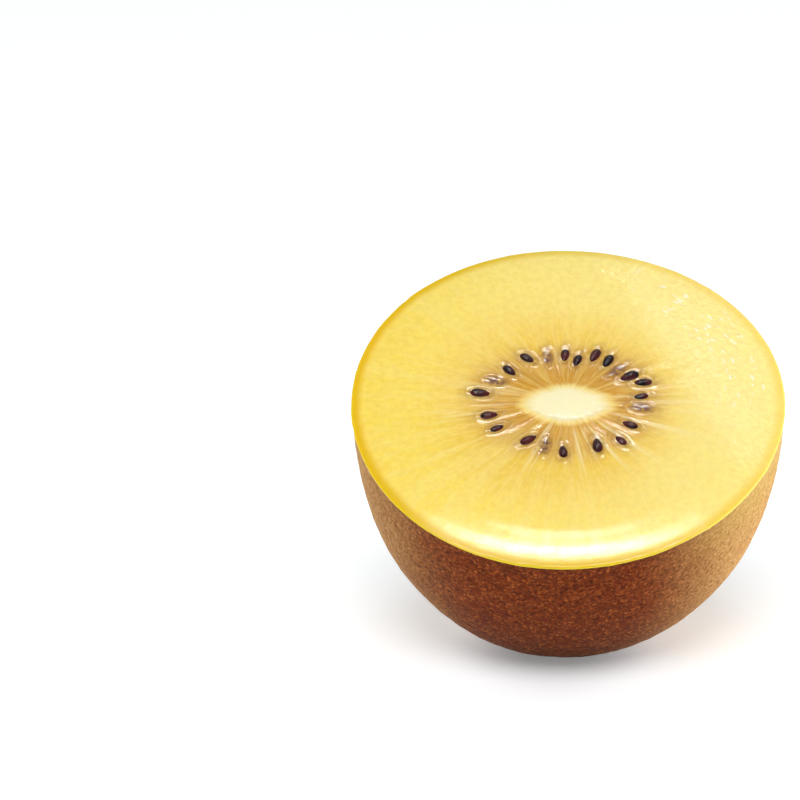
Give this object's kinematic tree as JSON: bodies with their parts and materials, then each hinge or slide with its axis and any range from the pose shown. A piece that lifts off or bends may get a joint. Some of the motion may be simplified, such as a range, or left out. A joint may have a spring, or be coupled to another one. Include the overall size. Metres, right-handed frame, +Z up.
{
  "type": "golden kiwi fruit half",
  "caption": "Half of a golden kiwi fruit, cut across and lying on its rounded side, with yellow flesh, a pale core and a ring of dark seeds inside thin brown skin.",
  "frame": {"origin": "middle of the flat resting spot, on the surface that the half lies on", "axes": "+Z up; the cut face looks up and towards -Y, 35 degrees from level; +X runs along the wide way of the cut face and of the core"},
  "size_m": [0.054, 0.0526, 0.0481],
  "materials": {
    "skin": "thin dry brown skin with fine lighter grains, faintly downy",
    "flesh": "wet translucent golden flesh with fine rays",
    "core": "firm moist cream core",
    "seed": "wet glossy seeds, almost black with a purple brown cast; the seeds are fused into the flesh solid"
  },
  "bodies": {
    "root": {"skin": "skin", "flesh": "flesh", "core": "core"}
  },
  "joints": []
}
